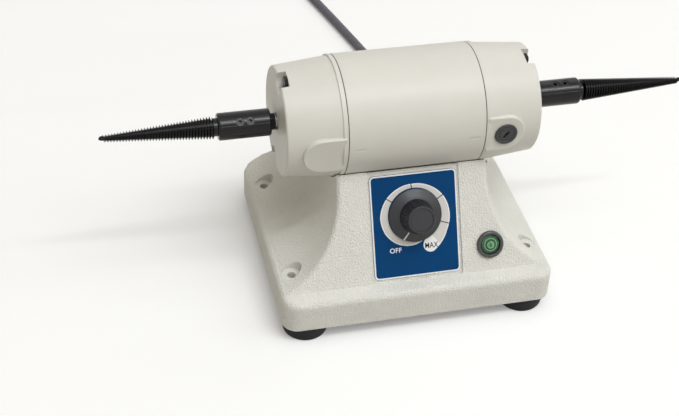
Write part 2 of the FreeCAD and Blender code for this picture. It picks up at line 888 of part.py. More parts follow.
def pot_body():
    back = on_panel(0, knob_place, -recess_depth - base_wall + recess_depth - fit)
    can = Part.makeCylinder(pot_radius, pot_length, back, -panel_out)
    bushing = Part.makeCylinder(bushing_radius, bushing_length, back, panel_out)
    body = can.fuse(bushing).removeSplitter()
    return body.cut(Part.makeCylinder(pot_shaft_radius + fit, bushing_length + 4,
                                      back - panel_out * 3, panel_out))


def pot_shaft():
    start = on_panel(0, knob_place, -base_wall - 2.5)
    return Part.makeCylinder(pot_shaft_radius, pot_shaft_length + 4, start, panel_out)


def pot_nut():
    base = on_panel(0, knob_place, -recess_depth + plate_thickness + fit)
    nut = hexagon(pot_nut_radius, pot_nut_height, base, panel_out)
    return nut.cut(Part.makeCylinder(bushing_radius + fit, 10, base - panel_out, panel_out))


def lamp_bezel():
    base = on_panel(lamp_x, lamp_place, fit)
    return turned_on(base, panel_out, [
        (0, lamp_bore), (0, lamp_bezel_radius, 0.2), (lamp_bezel_height, lamp_bezel_radius - 0.4, 0.8),
        (lamp_bezel_height, lamp_bore + 0.6, 0.3), (lamp_bezel_height - 0.8, lamp_bore)])


def lamp_lens():
    """Lens with rings that step up to its centre."""
    base = on_panel(lamp_x, lamp_place, fit)
    return turned_on(base, panel_out, [
        (0, 0), (0, lens_radius), (1.0, lens_radius, 0.3), (1.0, lens_radius - 1.2),
        (1.5, lens_radius - 1.4), (1.5, lens_radius - 2.6), (1.9, lens_radius - 2.8),
        (1.9, lens_radius - 4.0), (lens_height, lens_radius - 4.4), (lens_height, 0)])


def lamp_body():
    top = on_panel(lamp_x, lamp_place, -fit)
    return Part.makeCylinder(lamp_body_radius, lamp_body_length, top, -panel_out)


def lamp_nut():
    top = on_panel(lamp_x, lamp_place, -base_wall - fit)
    nut = hexagon(lamp_nut_radius, lamp_nut_height, top, -panel_out)
    return nut.cut(Part.makeCylinder(lamp_body_radius + fit, 10, top + panel_out, -panel_out))


def bottom_cover():
    inset = base_wall + cover_clearance
    cover = plan_block(inset, base_bottom, cover_top)
    for x in (-1, 1):
        for y in (-1, 1):
            cover = cover.cut(Part.makeCylinder(hole_radius + 0.5, 9, Vector(x * hole_x, y * hole_y, 5), Z))
            cover = cover.cut(Part.makeCylinder(foot_screw_radius + 0.2, 9,
                                                Vector(x * foot_x, y * foot_y, 5), Z))
    return cover


def foot(x, y):
    base = Vector(x, y, 0)
    return turned_on(base, Z, [
        (0, foot_recess), (0, foot_tip_radius, foot_edge), (base_bottom - 2, foot_radius, 0.8),
        (base_bottom, foot_radius, 0.6), (base_bottom, foot_screw_radius + 0.2),
        (foot_floor, foot_screw_radius + 0.2), (foot_floor, foot_recess)])


def foot_washers():
    rings = []
    for x in (-foot_x, foot_x):
        for y in (-foot_y, foot_y):
            base = Vector(x, y, foot_floor - foot_washer)
            ring = Part.makeCylinder(washer_radius, foot_washer, base, Z)
            rings.append(ring.cut(Part.makeCylinder(foot_screw_radius + 0.2, foot_washer, base, Z)))
    return group(rings)


def foot_screws():
    screws = []
    top = foot_floor - foot_washer
    for x in (-foot_x, foot_x):
        for y in (-foot_y, foot_y):
            head = Part.makeCylinder(foot_head_radius, foot_head_height,
                                     Vector(x, y, top - foot_head_height), Z)
            shank = Part.makeCylinder(foot_screw_radius, foot_screw_length - 1, Vector(x, y, top), Z)
            cross = block(Vector(x - 2.2, y - 0.5, 0), Vector(x + 2.2, y + 0.5, top - foot_head_height + 1.2))
            cross = cross.fuse(block(Vector(x - 0.5, y - 2.2, 0),
                                     Vector(x + 0.5, y + 2.2, top - foot_head_height + 1.2)))
            screws.append(head.fuse(shank).removeSplitter().cut(cross))
    return group(screws)


def motor_screws():
    screws = []
    for x in (-motor_screw_x, motor_screw_x):
        head = Part.makeCylinder(motor_head_radius, motor_head_height,
                                 Vector(x, 0, roof_height - motor_head_height), Z)
        head = head.cut(hexagon(2.9, 3, Vector(x, 0, roof_height - motor_head_height), Z))
        tip = axis_height - tube_bore - 0.2
        shank = Part.makeCylinder(motor_screw_radius, tip - roof_height + 1,
                                  Vector(x, 0, roof_height - 1), Z)
        screws.append(head.fuse(shank).removeSplitter())
    return group(screws)


def board_corners():
    return [(x, y) for x in (-board_x / 2 + 5, board_x / 2 - 5) for y in (-board_y / 2 + 5, board_y / 2 - 5)]


def control_board():
    board = block(Vector(-board_x / 2, -board_y / 2, board_low), Vector(board_x / 2, board_y / 2, board_top))
    for x, y in board_corners():
        board = board.cut(Part.makeCylinder(board_screw_radius + 0.2, 9, Vector(x, y, board_low - 2), Z))
    return board


def standoffs():
    posts = []
    for x, y in board_corners():
        post = hexagon(standoff_radius, standoff_height, Vector(x, y, cover_top), Z)
        posts.append(post.cut(Part.makeCylinder(board_screw_radius + fit, 6, Vector(x, y, board_low - 6), Z)))
    return group(posts)


def board_screws():
    screws = []
    for x, y in board_corners():
        head = Part.makeCylinder(board_head_radius, board_head_height, Vector(x, y, board_top), Z)
        shank = Part.makeCylinder(board_screw_radius, 7, Vector(x, y, board_top - 7), Z)
        screws.append(head.fuse(shank).removeSplitter())
    return group(screws)


def heat_sink():
    low = Vector(-sink_width / 2 - 20, -10, board_top)
    sink = block(low, low + Vector(sink_width, sink_depth, sink_height))
    step = (sink_width - fin_gap) / (fin_count + 1)
    for i in range(fin_count):
        start = low + Vector(step * (i + 0.5) + fin_gap / 2, 3, -1)
        sink = sink.cut(block(start, start + Vector(fin_gap, sink_depth, sink_height + 2)))
    return sink


def capacitors():
    cans = []
    for x in capacitor_places:
        can = turned_on(Vector(x, -8, board_top), Z, [(0, 0), (0, capacitor_radius, 0.8),
                                                     (capacitor_height, capacitor_radius, 1.2),
                                                     (capacitor_height, 0)])
        cans.append(can)
    return group(cans)


def terminal_block():
    low = Vector(-12, board_y / 2 - 16, board_top)
    body = block(low, low + Vector(40, 10, 10))
    for i in range(5):
        body = body.cut(Part.makeCylinder(2.4, 4, Vector(-8 + 8 * i, board_y / 2 - 11, board_top + 7), Z))
    return body


def internal_leads():
    routes = motor_leads() + mains_leads() + lamp_leads() + control_leads()
    return group([tangent_tube(route, lead_radius)[0] for route in routes])


def motor_leads():
    routes = []
    for side in (-1, 1):
        end_x = -8 + 8 * (1.5 + side * 0.5) - 4
        end_y = board_y / 2 - 11
        routes.append([Vector(2 * side, 0, axis_height - tube_bore + 4), Vector(2 * side, 1, roof_height - 6),
                       Vector(2 * side + end_x / 2, 10, 55), Vector(end_x, end_y - 1, 42),
                       Vector(end_x, end_y, board_top + 10 + seat_gap)])
    return routes


def mains_leads():
    routes = []
    for i in range(2):
        end_x = 16.0 + 8 * i
        end_y = board_y / 2 - 11
        start = Vector(cord_exit.x - 2 + 4 * i, base_half_y - base_wall - 4, cord_exit.z)
        routes.append([start, start + Vector(-1, -10, 4), Vector(end_x + 6, end_y + 16, 38),
                       Vector(end_x, end_y + 2, 45), Vector(end_x, end_y, board_top + 10 + seat_gap)])
    return routes


def lamp_leads():
    routes = []
    for side in (-1, 1):
        start = on_panel(lamp_x + 3 * side, lamp_place, -lamp_body_length - 2 * fit)
        routes.append([start, start - panel_out * 7, Vector(44 + 3 * side, -18, 40),
                       Vector(39 + 2 * side, 3, 34), Vector(39 + 2 * side, 3, board_top + seat_gap)])
    return routes


def control_leads():
    routes = []
    for i in (-1, 0, 1):
        start = on_panel(4 * i, knob_place, -base_wall - pot_length - 2 * fit)
        routes.append([start, start - panel_out * 6, Vector(4 * i - 2, -20, 48), Vector(4 * i - 2, -22, 36),
                       Vector(4 * i, -24, board_top + seat_gap)])
    return routes


def strain_relief():
    """Moulded bushing: it grips the wall and tapers, ringed with grooves, to the cord."""
    wall = base_half_y - base_wall
    start = Vector(cord_exit.x, wall - 3, cord_exit.z)
    length = cord_exit.y - wall + 3
    profile = [(0, 0), (0, relief_flange - 0.5), (3 - fit, relief_flange - 0.5, 0.4),
               (3 - fit, relief_hole - fit),
               (3 + base_wall + fit, relief_hole - fit), (3 + base_wall + fit, relief_flange, 0.6),
               (6 + base_wall, relief_flange, 0.6), (6.2 + base_wall, 7.0)]
    taper_start = 6.2 + base_wall
    pitch = (length - taper_start) / (relief_grooves + 1)
    for i in range(relief_grooves):
        place = taper_start + pitch * (i + 0.75)
        share = (place - taper_start) / (length - taper_start)
        outer = 7.0 - (7.0 - relief_tip) * share
        profile += [(place - 0.8, outer), (place - 0.8, outer - 1.0), (place + 0.8, outer - 1.0),
                    (place + 0.8, outer)]
    profile += [(length, relief_tip), (length, 0)]
    return turned_on(start, Y, profile)


def coil_frame():
    """Centre, outward and onward directions of the coil, from the last run of the cord."""
    onward = cord_route[-1] - cord_route[-2]
    onward.z = 0
    onward.normalize()
    outward = onward.cross(Z)
    start = cord_route[-1] + onward * (2 * cord_radius)
    return start - outward * coil_radius, outward, onward


def coil_stops():
    """Where the half turns meet: in along the lower layer, then out again along the upper."""
    centre, outward, onward = coil_frame()
    step = coil_pitch / 2
    stops = []
    for i in range(coil_half_turns + 1):
        rise = coil_layer if i > coil_reversal else 0
        reach = coil_radius - step * i
        if i > coil_reversal + 1:
            reach = coil_radius - step * (2 * coil_reversal + 1 - i)
        stops.append(centre + outward * (reach * (-1) ** i) + Z * rise)
    return stops


def cord_coil():
    onward = coil_frame()[2]
    return wound_tube(coil_stops(), onward, cord_radius, 2 * cord_radius, coil_tail)


def least_gap(path):
    """Least clear distance from the tube to itself, on points along its path."""
    spacing = 2.0
    count = int(path.Length / spacing)
    points = path.discretize(count)
    skip = int(5 * cord_radius / spacing)
    least = 1000.0
    for i in range(0, len(points), 2):
        for j in range(i + skip, len(points)):
            least = min(least, points[i].distanceToPoint(points[j]))
    return least - 2 * cord_radius


def cord_tie():
    """Strap round the coil's bundle, on the far side."""
    centre, outward, onward = coil_frame()
    stops = coil_stops()
    reaches = [a.distanceToPoint(b) / 2 for a, b in list(zip(stops, stops[1:]))[::2]]
    far = max(reaches) + cord_radius + seat_gap
    near = min(reaches) - cord_radius - tie_slack
    low = centre.z - cord_radius - seat_gap
    high = centre.z + coil_layer + cord_radius + seat_gap
    flat = Vector(centre.x, centre.y, 0) - outward * (tie_width / 2)

    def ring(grow, corner):
        return rounded_wire([(flat + onward * r + Z * z, corner) for r, z in
                             ((near - grow, low - grow), (far + grow, low - grow),
                              (far + grow, high + grow), (near - grow, high + grow))])
    outer = Part.Face(ring(tie_thickness, 3.0)).extrude(outward * tie_width)
    inner = Part.Face(ring(0, 2.2)).extrude(outward * tie_width)
    return outer.cut(inner)


def plug_start():
    last = coil_stops()[-1]
    onward = coil_frame()[2]
    return last + onward * coil_tail, onward


def plug_body():
    """Moulded three-pin plug: a slim neck that swells to a flat-sided grip."""
    start, onward = plug_start()
    across = onward.cross(Z)
    rise = start.z
    sections = []
    for place, half_width, half_height, corner in ((0, 5.0, 5.0, 4.4), (9, 5.6, 5.6, 4.6),
                                                   (18, plug_width / 2, rise, 6.0),
                                                   (plug_length, plug_width / 2, rise, 6.0)):
        centre = start + onward * place
        sections.append(rounded_wire([(centre + across * (s * half_width) + Z * (t * half_height), corner)
                                      for s, t in ((-1, -1), (1, -1), (1, 1), (-1, 1))]))
    neck = Part.makeLoft(sections[:2], True, True)
    swell = Part.makeLoft(sections[1:3], True, True)
    grip = Part.makeLoft(sections[2:], True, True)
    return neck.fuse(swell).fuse(grip).removeSplitter()


def plug_blades():
    start, onward = plug_start()
    across = onward.cross(Z)
    face = start + onward * plug_length
    blades = []
    for side in (-1, 1):
        corner = face + across * (side * blade_spacing / 2 - blade_thickness / 2) + Z * (-blade_width / 2 + 3)
        outline = Part.makePolygon([corner, corner + across * blade_thickness,
                                    corner + across * blade_thickness + Z * blade_width,
                                    corner + Z * blade_width, corner])
        blades.append(Part.Face(outline).extrude(onward * blade_length))
    pin = face - Z * 5
    blades.append(turned_on(pin, onward, [(0, 0), (0, ground_pin_radius),
                                          (blade_length + 3, ground_pin_radius, 1.6), (blade_length + 3, 0)]))
    return group(blades)


def main():
    save("base_casting", base_casting())
    save("bottom_cover", bottom_cover())
    for name, x, y in (("foot_front_left", -foot_x, -foot_y), ("foot_front_right", foot_x, -foot_y),
                       ("foot_back_left", -foot_x, foot_y), ("foot_back_right", foot_x, foot_y)):
        save(name, foot(x, y))
    save("foot_washers", foot_washers())
    save("foot_screws", foot_screws())
    save("motor_shell", motor_shell())
    save("left_end_bell", bell(-1, left_boss_angle, left_boss_centre, False))
    save("right_end_bell", bell(1, right_boss_angle, boss_centre, True))
    save("motor_tie_bolts", tie_bolts())
    save("motor_tie_nuts", tie_nuts())
    save("motor_mount_screws", motor_screws())
    save("magnet_front", magnet(notch_angle + 90))
    save("magnet_rear", magnet(notch_angle + 270))
    save("motor_shaft", motor_shaft())
    save("armature_core", armature_core())
    save("armature_winding", armature_winding())
    save("commutator", commutator())
    for name, side in (("left", -1), ("right", 1)):
        save(name + "_bearing_inner_race", inner_race(side))
        save(name + "_bearing_outer_race", outer_race(side))
        save(name + "_bearing_balls", ball_set(side))
    save("wave_washer", wave_washer())
    for name, angle in (("front", right_boss_angle), ("rear", right_boss_angle + 180)):
        save("brush_holder_" + name, brush_holder(angle))
        save("carbon_brush_" + name, carbon_brush(angle))
        save("brush_spring_" + name, brush_spring(angle))
        save("brush_cap_" + name, brush_cap(angle))
    save("left_spindle", spindle(-1, left_screw_angle, left_screw_places))
    save("right_spindle", spindle(1, right_screw_angle, right_screw_places))
    save("spindle_set_screws", group(set_screws(-1, left_screw_angle, left_screw_places)
                                     + set_screws(1, right_screw_angle, right_screw_places)))
    save("dial_plate", dial_plate())
    save("speed_knob", speed_knob())
    save("potentiometer_body", pot_body())
    save("potentiometer_shaft", pot_shaft())
    save("potentiometer_nut", pot_nut())
    save("pilot_lamp_bezel", lamp_bezel())
    save("pilot_lamp_lens", lamp_lens())
    save("pilot_lamp_body", lamp_body())
    save("pilot_lamp_nut", lamp_nut())
    save("control_board", control_board())
    save("board_standoffs", standoffs())
    save("board_screws", board_screws())
    save("heat_sink", heat_sink())
    save("filter_capacitors", capacitors())
    save("terminal_block", terminal_block())
    save("internal_leads", internal_leads())
    save("strain_relief", strain_relief())
    cord, radii, length = tangent_tube(cord_route, cord_radius)
    save("power_cord", cord)
    coil, coil_path = cord_coil()
    save("cord_coil", coil)
    save("cord_tie", cord_tie())
    save("plug_body", plug_body())
    save("plug_blades", plug_blades())
    area = math.pi * cord_radius ** 2
    print("Cord bend radii", [round(r) for r in radii])
    print("Cord length", round(length), "volume share", round(cord.Volume / (area * length), 4))
    print("Coil length", round(coil_path.Length), "volume share",
          round(coil.Volume / (area * coil_path.Length), 4), "least gap", round(least_gap(coil_path), 2))


main()
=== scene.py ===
import json
import math

import bmesh
import bpy
from mathutils import Matrix, Vector


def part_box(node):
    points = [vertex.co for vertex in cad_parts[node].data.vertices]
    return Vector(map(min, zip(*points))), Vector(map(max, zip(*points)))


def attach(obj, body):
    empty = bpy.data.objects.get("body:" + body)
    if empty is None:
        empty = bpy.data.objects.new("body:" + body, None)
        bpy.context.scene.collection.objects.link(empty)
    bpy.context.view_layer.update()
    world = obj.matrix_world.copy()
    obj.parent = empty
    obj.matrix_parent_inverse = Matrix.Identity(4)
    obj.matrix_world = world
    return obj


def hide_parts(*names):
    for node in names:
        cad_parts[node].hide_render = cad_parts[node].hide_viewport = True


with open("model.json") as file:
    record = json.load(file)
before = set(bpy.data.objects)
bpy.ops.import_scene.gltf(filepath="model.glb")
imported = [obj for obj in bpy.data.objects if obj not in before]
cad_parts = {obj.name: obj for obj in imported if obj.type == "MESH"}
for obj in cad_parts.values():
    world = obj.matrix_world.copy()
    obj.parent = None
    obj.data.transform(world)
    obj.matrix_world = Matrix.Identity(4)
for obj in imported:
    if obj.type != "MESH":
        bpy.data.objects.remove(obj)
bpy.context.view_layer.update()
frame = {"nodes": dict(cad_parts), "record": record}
nodes = frame["nodes"]

# Lengths are in millimetres, which to_metres turns into metres. Grain depths, the floor and the
# lamps are in metres.

# Motor's axis, and the sloped panel with its foot, its directions and what it carries
AXIS_HEIGHT = 118.0
PANEL_LEAN = math.radians(27.3)
PANEL_FOOT = Vector((0, -64.0, 31.0))
PANEL_UP = Vector((0, math.sin(PANEL_LEAN), math.cos(PANEL_LEAN)))
PANEL_OUT = Vector((0, -math.cos(PANEL_LEAN), math.sin(PANEL_LEAN)))
KNOB_PLACE = 41.7
PLATE_FACE = -0.4

# Photograph's viewpoint
VIEW_AZIMUTH = math.radians(-15.25)
VIEW_ELEVATION = math.radians(39.38)
VIEW_ROLL = math.radians(3.18)
VIEW_TARGET = Vector((-45.46, -32.25, 70.0))
VIEW_DISTANCE = 877.17
FOCAL_PIXELS = 1408.7
PHOTO_WIDTH = 679
SENSOR_WIDTH = 36.0

# Cord, with the route that part.py gives its tube
CORD_DIAMETER = 7.0
CORD_ROUTE = [Vector(p) for p in (
    (46.0, 107.0, 22.0), (46.0, 135.0, 22.0), (51.0, 170.0, 8.0), (43.5, 221.0, 3.5),
    (30.6, 274.0, 3.5), (17.0, 326.0, 3.5), (2.5, 374.5, 4.6), (-13.5, 419.0, 4.6))]
COIL_RADIUS = 47.5
COIL_PITCH = 7.5
COIL_LAYER = 7.5
COIL_HALF_TURNS = 12
COIL_REVERSAL = 5
COIL_TAIL_START = 6.0
COIL_TAIL = 42.0
POINTS_PER_HALF_TURN = 8

# Threaded tapers: each step has four columns of points, at the two edges of the crest's flat and
# the two edges of the root. THREAD_FLAT and THREAD_FLANK are measured from the crest's middle.
THREAD_START = 119.0
THREAD_PITCH = 1.8
THREAD_TURNS = 37
THREAD_STEPS = 36
THREAD_COLUMNS = 4
THREAD_CREST = 7.1
THREAD_CREST_END = 2.2
THREAD_DEPTH = 1.35
THREAD_DEPTH_END = 1.0
THREAD_FLAT = 0.12
THREAD_FLANK = 0.68
TIP_RINGS = ((187.3, 0.85), (188.0, 0.5))
TIP_END = 188.3
NECK_MARGIN = 0.05

# Printing. Angles run clockwise from straight up, in degrees, and radii are about the knob's axis.
# Borders are half width, low edge, high edge and corner radius.
INK = 0.06
THIN_INK = 0.03
BORDER_OUTSIDE = (27.9, 2.3, 68.5, 2.9)
BORDER_INSIDE = (27.0, 3.2, 67.6, 2.2)
CORNER_STEPS = 8
RING_EDGE = [(-194, 17.6), (-180, 19.0), (-165, 20.2), (-145, 21.4), (-120, 22.2), (-90, 22.3),
             (-60, 21.4), (-30, 20.4), (0, 19.9), (30, 20.4), (60, 21.6), (90, 22.6), (120, 23.7),
             (155, 27.0)]
RING_INSIDE = 17.3
RING_LINE = 0.6
RING_STEPS = 90
RING_END_STEPS = 14
RING_FILL_START = -182
RING_FILL_END = 143
TICK_ANGLES = (-56, -4, 60, 110)
TICK_HALF_WIDTH = 0.28
TICK_OVERHANG = 0.1
CAPITAL_SHARE = 0.7
LETTER_SPACING = 1.05
LETTER_DEPTH = 0.02

# Knob's white line, its profile given by radius and height over the panel
POINTER_ANGLE = 209.5
POINTER_PROFILE = ((17.1, 0.9), (17.1, 1.66), (12.4, 4.03), (11.3, 4.3), (11.3, 3.2), (16.6, 0.9))
POINTER_HALF_WIDTH = 0.42
POINTER_LIFT = 0.05

# Dark joint lines around the tube's ends, and painted shade lines along the saddle's edges where
# the tube meets the casting
TUBE_END = 43.0
TUBE_SEAM = ((37.5, -0.27), (37.93, -0.27), (37.93, 0.27), (37.5, 0.27))
TUBE_SEAM_STEPS = 128
# Painted shade line where the tube meets the saddle: its place and cross-section
SADDLE_Y = 30.75
SADDLE_Z = 95.02
SADDLE_HALF_LENGTH = 46.4
SADDLE_SHADE_PROFILE = ((-0.25, -0.3), (0.25, -0.3), (0.25, 0.12), (-0.25, 0.12))

# Brush caps, their profile given by radius and height over their seat
CAP_X = 56.2
CAP_SEAT = 35.7
CAP_PROFILE = ((0.02, 0.0), (6.4, 0.0), (6.4, 1.5), (7.2, 1.62), (7.2, 2.2), (6.9, 2.5),
               (5.9, 2.55), (5.5, 2.2), (5.3, 1.95), (4.6, 1.95), (4.35, 2.25), (4.1, 2.35),
               (0.02, 2.35))
CAP_STEPS = 64
# Outline and heights of the near-black bar painted as the shade in the cap's slot
CAP_SLOT = ((-2.6, -0.55), (2.6, -0.55), (2.6, 0.55), (-2.6, 0.55))
CAP_SLOT_HEIGHTS = (2.2, 2.4)
CAP_SLOT_TURN = 50

# Materials: how far roughness varies each way, and the stretch of noise over which colour does
ROUGHNESS_SPREAD = 0.05
MOTTLE_LOW = 0.3
MOTTLE_HIGH = 0.7

# Floor, world and lamps
FLOOR_REACH = 6.0
FLOOR_SEEN = (0.8, 0.8, 0.8, 1)
FLOOR_BOUNCE = (0.57, 0.565, 0.55, 1)
FLOOR_GLOW = 0.2
HORIZON_TINT = (1, 0.78, 0.46)
ZENITH_TINT = (1, 0.96, 0.88)
HORIZON_STRENGTH = 0.2
ZENITH_STRENGTH = 0.42
LAMP_TARGET = Vector((0, 0, 0.07))
LAMP_DISTANCE = 6.0
LAMP_TINT = (0.94, 0.975, 1.0)


def to_metres(v):
    return Vector(v) * 0.001


def panel(x, up, out=0.0):
    """Point on the sloped panel, in metres: across, up the slope from its foot, and out of it."""
    return to_metres(PANEL_FOOT + Vector((x, 0, 0)) + PANEL_UP * up + PANEL_OUT * out)


# Materials

def set_inputs(tree, node, inputs):
    """Give a node's inputs their values, or links where the value is another node's output."""
    for key, value in inputs.items():
        if isinstance(value, bpy.types.NodeSocket):
            tree.links.new(value, node.inputs[key])
        else:
            node.inputs[key].default_value = value


def add_node(tree, kind, inputs=None, **settings):
    """New node, with its own settings by name and its inputs as set_inputs takes them."""
    node = tree.nodes.new(kind)
    for key, value in settings.items():
        setattr(node, key, value)
    set_inputs(tree, node, inputs or {})
    return node


def add_ramp(tree, share, *ends):
    """Colour that runs between two ends, each a position and a colour."""
    ramp = add_node(tree, "ShaderNodeValToRGB", {"Fac": share})
    for i, (position, color) in enumerate(ends):
        ramp.color_ramp.elements[i].position = position
        ramp.color_ramp.elements[i].color = (*color, 1)
    return ramp.outputs["Color"]


def material(name, color, roughness, metallic=0.0, specular=0.5, mottle=0.04, mottle_scale=40.0,
             grain=0.1, grain_scale=600.0, grain_depth=0.0001, grain_detail=3.0,
             stretch=(1, 1, 1)):
    """Uneven colour and roughness and a fine grain, all from noise in the object's frame."""
    look = bpy.data.materials.new(name)
    look.use_nodes = True
    tree = look.node_tree
    place = add_node(tree, "ShaderNodeTexCoord").outputs["Object"]
    place = add_node(tree, "ShaderNodeMapping", {"Vector": place, "Scale": stretch}).outputs[0]
    cloud = add_node(tree, "ShaderNodeTexNoise", {
        "Vector": place, "Scale": mottle_scale, "Detail": 4.0}).outputs["Fac"]
    rough = add_node(tree, "ShaderNodeMapRange", {
        "Value": cloud, "To Min": roughness - ROUGHNESS_SPREAD,
        "To Max": roughness + ROUGHNESS_SPREAD})
    fine = add_node(tree, "ShaderNodeTexNoise", {
        "Vector": place, "Scale": grain_scale, "Detail": grain_detail})
    bump = add_node(tree, "ShaderNodeBump", {
        "Height": fine.outputs["Fac"], "Strength": grain, "Distance": grain_depth})
    set_inputs(tree, tree.nodes["Principled BSDF"], {
        "Base Color": add_ramp(tree, cloud, (MOTTLE_LOW, [c * (1 - mottle) for c in color]),
                               (MOTTLE_HIGH, [c * (1 + mottle) for c in color])),
        "Roughness": rough.outputs["Result"], "Normal": bump.outputs["Normal"],
        "Metallic": metallic, "Specular IOR Level": specular})
    return look


# Colour and roughness of each finish, then what differs from material's own values
FINISHES = {
    "casting_paint": ((0.825, 0.82, 0.77), 0.5, dict(mottle=0.03, specular=0.35, grain=1.0,
                      grain_scale=1150, grain_depth=0.0012, grain_detail=1.0)),
    "motor_paint": ((0.685, 0.667, 0.62), 0.4, dict(mottle=0.02, specular=0.35, grain=0.12,
                                                    grain_scale=900)),
    "cover_paint": ((0.10, 0.10, 0.10), 0.5, dict(grain=0.2)),
    "foot_rubber": ((0.012, 0.012, 0.013), 0.7, dict(mottle=0.2, specular=0.25, grain=0.3,
                                                     grain_scale=1500)),
    "black_steel": ((0.006, 0.0056, 0.005), 0.13, dict(mottle=0.3, specular=0.28, grain=0.05,
                                                       grain_scale=900, stretch=(6, 1, 1))),
    "zinc_steel": ((0.55, 0.55, 0.53), 0.35, dict(metallic=1.0)),
    "shaft_steel": ((0.56, 0.56, 0.56), 0.25, dict(metallic=1.0, grain=0.2, stretch=(8, 1, 1))),
    "core_steel": ((0.22, 0.22, 0.24), 0.45, dict(metallic=0.9, grain=0.8, grain_scale=1400,
                                                  stretch=(1, 0.02, 0.02))),
    "bearing_steel": ((0.62, 0.62, 0.63), 0.15, dict(metallic=1.0, grain=0.05)),
    "magnet": ((0.05, 0.05, 0.055), 0.6, dict(mottle=0.15, grain=0.3)),
    "winding_copper": ((0.42, 0.13, 0.035), 0.35, dict(metallic=0.7, grain=0.9, grain_scale=1600,
                                                       stretch=(0.3, 1, 1))),
    "bar_copper": ((0.62, 0.27, 0.13), 0.3, dict(metallic=1.0, grain=0.2)),
    "brass": ((0.6, 0.42, 0.16), 0.3, dict(metallic=1.0)),
    "carbon": ((0.02, 0.02, 0.022), 0.6, dict(mottle=0.2, grain=0.3)),
    "black_plastic": ((0.019, 0.019, 0.022), 0.42, dict(mottle=0.12, grain=0.25,
                                                        grain_scale=1800)),
    "dial_print": ((0.0025, 0.052, 0.17), 0.5, dict(mottle=0.06, specular=0.08,
                                                    grain_scale=1500)),
    # Its colour is replaced below by painted light and dark rings for the lens's ridges
    "lens_green": ((0.045, 0.17, 0.065), 0.14, dict(mottle=0.3, mottle_scale=500, grain=0.3,
                                                    grain_scale=700)),
    "board_green": ((0.01, 0.13, 0.05), 0.35, dict(mottle=0.1, grain=0.2)),
    "aluminium": ((0.7, 0.7, 0.71), 0.35, dict(metallic=1.0, grain=0.2, stretch=(1, 1, 6))),
    "capacitor_blue": ((0.01, 0.03, 0.14), 0.3, {}),
    "lead_insulation": ((0.3, 0.015, 0.01), 0.4, {}),
    "cord_grey": ((0.09, 0.084, 0.1), 0.5, dict(mottle=0.18, mottle_scale=260, grain=0.3,
                                                grain_scale=1200)),
    "blade_brass": ((0.62, 0.5, 0.25), 0.28, dict(metallic=1.0)),
    "print_white": ((0.88, 0.88, 0.88), 0.4, dict(mottle=0.02)),
    "print_grey": ((0.66, 0.64, 0.62), 0.4, dict(mottle=0.03)),
    "print_black": ((0.012, 0.012, 0.014), 0.4, dict(mottle=0.1, specular=0.1)),
    "cap_black": ((0.02, 0.02, 0.023), 0.3, dict(mottle=0.1, grain=0.15, grain_scale=1500)),
    # Near black, painted as the shade inside the brush caps' slots
    "slot_painted_shade": ((0.004, 0.004, 0.004), 0.7, dict(mottle=0.1, specular=0.1)),
    # Dark for the joint lines at the tube's ends, and painted shade along the saddle's edges
    "joint_dark_and_painted_shade": ((0.045, 0.04, 0.032), 0.8, dict(mottle=0.3, specular=0.1, grain=0.2)),
    "bezel_black": ((0.02, 0.02, 0.02), 0.22, dict(mottle=0.1, specular=0.9, grain_scale=1500)),
}
MATERIALS = {name: material(name, color, roughness, **others)
             for name, (color, roughness, others) in FINISHES.items()}

for part in frame["record"]["subparts"]:
    obj = nodes[part["node"]]
    obj.data.materials.clear()
    obj.data.materials.append(MATERIALS[part["material_slot"]])
nodes["pilot_lamp_bezel"].data.materials[0] = MATERIALS["bezel_black"]


def paint_lens_ring_shading():
    """Light and dark green rings painted on the lamp's lens about its centre, standing in for the
    highlights and shade of its ridges.
    """
    low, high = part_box("pilot_lamp_lens")
    centre = (Vector(low) + Vector(high)) / 2
    tree = MATERIALS["lens_green"].node_tree
    place = add_node(tree, "ShaderNodeTexCoord").outputs["Object"]
    shift = add_node(tree, "ShaderNodeVectorMath", {0: place, 1: centre}, operation="SUBTRACT")
    rings = add_node(tree, "ShaderNodeTexWave", {
        "Vector": shift.outputs[0], "Scale": 190, "Distortion": 1.2, "Detail": 2,
        "Detail Scale": 3}, wave_type="RINGS", rings_direction="SPHERICAL")
    # Light rings are painted highlights and dark rings painted shade of the lens's ridges
    green = add_ramp(tree, rings.outputs["Fac"], (0.35, (0.012, 0.075, 0.026)),
                     (0.95, (0.2, 0.42, 0.23)))
    set_inputs(tree, tree.nodes["Principled BSDF"], {"Base Color": green})


paint_lens_ring_shading()


# Pieces

def add_object(name, data, place=Matrix()):
    """Object of the scene, set in place by a matrix in metres."""
    obj = bpy.data.objects.new(name, data)
    obj.matrix_world = place
    bpy.context.scene.collection.objects.link(obj)
    return obj


def add_piece(name, data, body, place=Matrix()):
    """Object that is part of the model: it rides on a body."""
    obj = add_object(name, data, place)
    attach(obj, body)
    return obj


def mesh_piece(name, vertices, faces, body, look, smooth=True):
    """Piece whose mesh is made from points in metres."""
    mesh = bpy.data.meshes.new(name)
    mesh.from_pydata([tuple(v) for v in vertices], [], faces)
    mesh.validate()
    b = bmesh.new()
    b.from_mesh(mesh)
    bmesh.ops.recalc_face_normals(b, faces=b.faces)
    b.to_mesh(mesh)
    b.free()
    mesh.materials.append(MATERIALS[look])
    for face in mesh.polygons:
        face.use_smooth = smooth
    return add_piece(name, mesh, body)


def turned_piece(name, profile, place, look, steps):
    """Closed ring or disc on the stand; place(turn, radius, height) puts the profile's points."""
    count = len(profile)
    vertices = []
    faces = []
    for k in range(steps):
        turn = 2 * math.pi * k / steps
        vertices += [to_metres(place(turn, r, h)) for r, h in profile]
        this, after = k * count, (k + 1) % steps * count
        for i in range(count):
            n = (i + 1) % count
            faces.append((this + i, this + n, after + n, after + i))
    return mesh_piece(name, vertices, faces, "stand", look)


